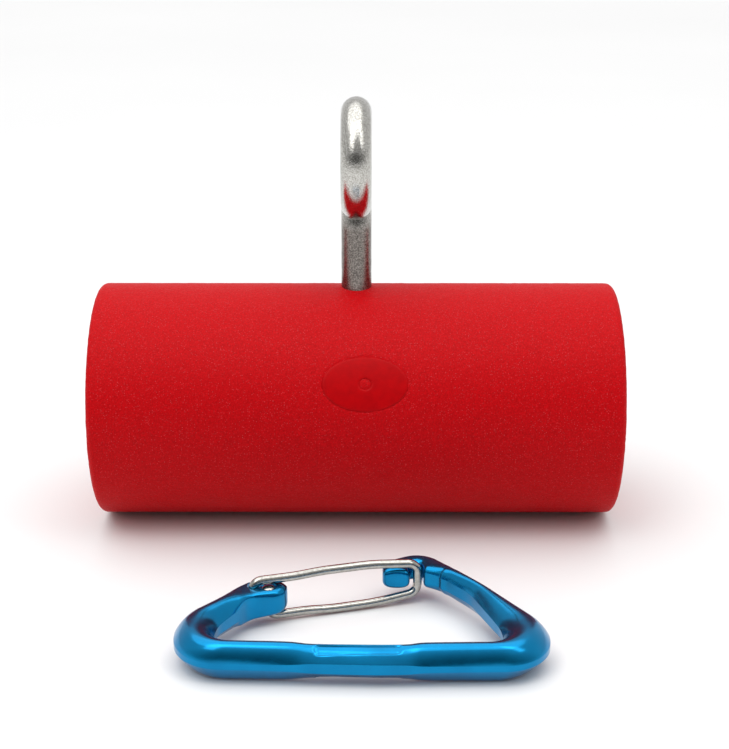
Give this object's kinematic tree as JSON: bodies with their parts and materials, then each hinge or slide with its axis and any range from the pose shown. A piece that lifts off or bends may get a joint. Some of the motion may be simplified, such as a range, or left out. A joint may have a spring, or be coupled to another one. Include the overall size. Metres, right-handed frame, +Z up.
{
  "type": "hanging grip trainer with carabiner",
  "caption": "Cast resin grip cylinder hung from a steel eye bolt through its middle, with a wire-gate carabiner laid in front for hanging it up.",
  "frame": {"origin": "centre of the eye bolt's eye", "axes": "+Z up, from the grip to the eye; +X along the grip; the carabiner and the badge are on the -Y side"},
  "size_m": [0.155, 0.15, 0.127],
  "materials": {
    "grip_resin": "fine sand texture, semi-matte",
    "badge_resin": "smooth",
    "plug_resin": "cast and sanded",
    "zinc_steel": "bright zinc plate",
    "bolt_steel": "tumbled stainless, finely pitted",
    "nylon": "moulded",
    "blue_anodised": "bright anodised",
    "gate_steel": "drawn stainless wire, polished"
  },
  "bodies": {
    "grip": {"grip_body": "grip_resin", "front_badge": "badge_resin", "bottom_plug": "plug_resin", "bolt_sleeve": "zinc_steel", "eye_bolt": "bolt_steel", "load_washer": "zinc_steel", "lock_nut": "zinc_steel", "nut_lock_ring": "nylon"},
    "carabiner": {"carabiner_body": "blue_anodised"},
    "gate": {"wire_gate": "gate_steel"}
  },
  "joints": [
    {"name": "carabiner_lift", "type": "slide", "parent": "grip", "child": "carabiner", "axis": [0, 0, 1], "range_m": [0, 0.12]},
    {"name": "gate_hinge", "type": "hinge", "parent": "carabiner", "child": "gate", "pos_m": [-0.0229, -0.0795, -0.10209], "axis": [0, -0.0483, 0.9988], "range_deg": [-35, 0], "stiffness_Nm_per_rad": 0.5, "springref_deg": 17.19}
  ]
}
